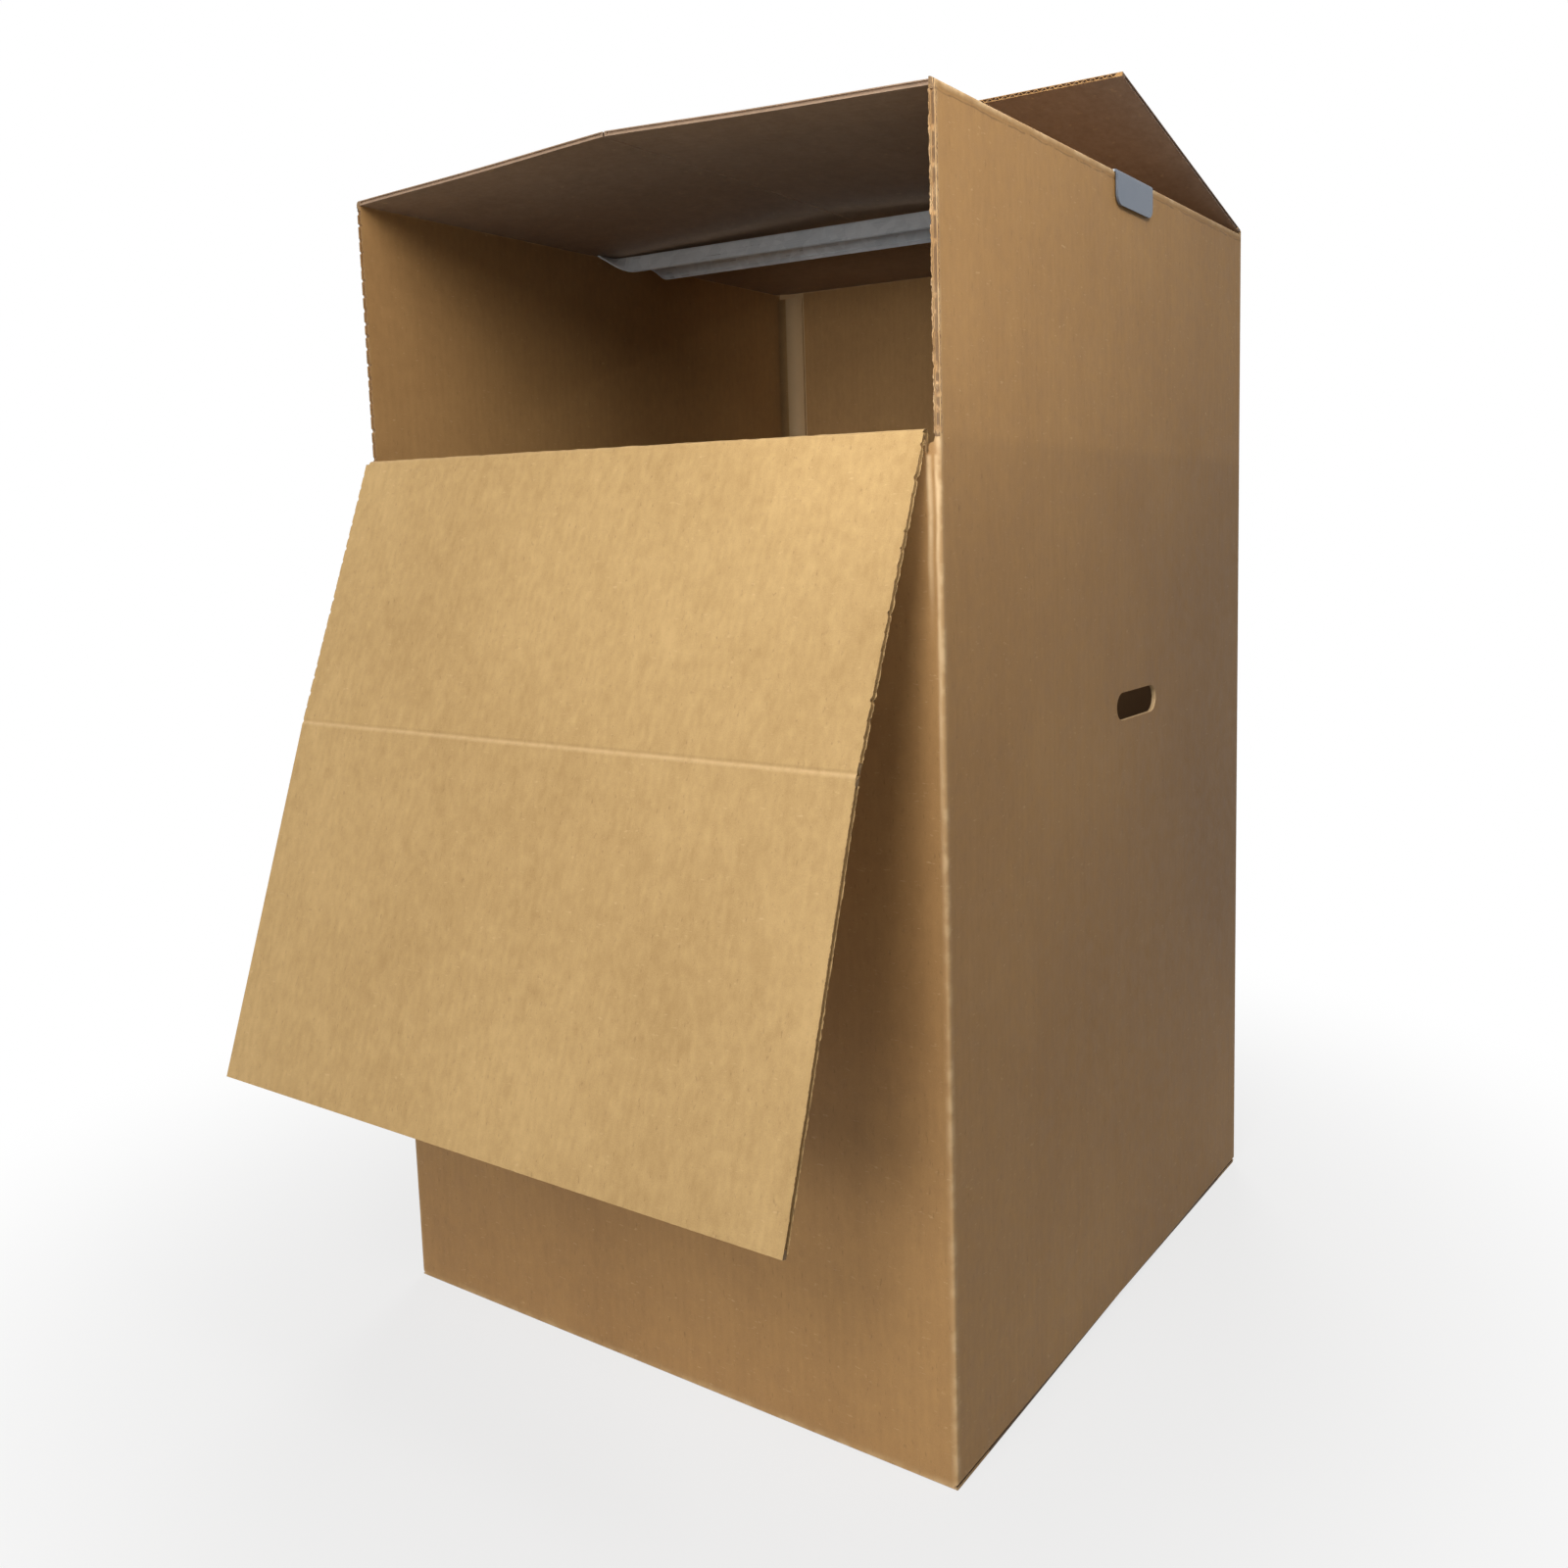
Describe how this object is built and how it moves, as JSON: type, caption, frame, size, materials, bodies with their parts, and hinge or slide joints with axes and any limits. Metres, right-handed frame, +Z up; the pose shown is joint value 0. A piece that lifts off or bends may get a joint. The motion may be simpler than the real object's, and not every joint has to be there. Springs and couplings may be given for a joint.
{
  "type": "wardrobe moving box",
  "caption": "Tall corrugated moving box with a drop-down front hatch, open top flaps, side hand holes and a steel hanger bar across the top.",
  "frame": {"origin": "on the floor, under the middle of the whole footprint, with the hatch hanging open", "axes": "+Z up, +X to the right of someone who faces the front, the open front and its hatch towards -Y"},
  "size_m": [0.6244, 0.7988, 1.1159],
  "materials": {
    "kraft_board": "matt brown kraft liner",
    "kraft_board_inside": "matt brown kraft liner, inside face",
    "galvanised_steel": "dull galvanised sheet"
  },
  "bodies": {
    "box": {"carton": "kraft_board", "hanger_bar": "galvanised_steel"},
    "hatch": {"drop_front": "kraft_board_inside"},
    "front_top_flap": {"front_flap": "kraft_board_inside"},
    "rear_top_flap": {"rear_flap": "kraft_board"}
  },
  "joints": [
    {"name": "hatch_hinge", "type": "hinge", "parent": "box", "child": "hatch", "pos_m": [0, -0.21834, 0.7915], "axis": [-1, 0, 0], "range_deg": [-18.2, 159.8]},
    {"name": "front_flap_hinge", "type": "hinge", "parent": "hatch", "child": "front_top_flap", "pos_m": [0, -0.30177, 0.56476], "axis": [-1, 0, 0], "range_deg": [0, 92.5]},
    {"name": "rear_flap_hinge", "type": "hinge", "parent": "box", "child": "rear_top_flap", "pos_m": [0, 0.39946, 1.0331], "axis": [-1, 0, 0], "range_deg": [-12.6, 252]}
  ]
}
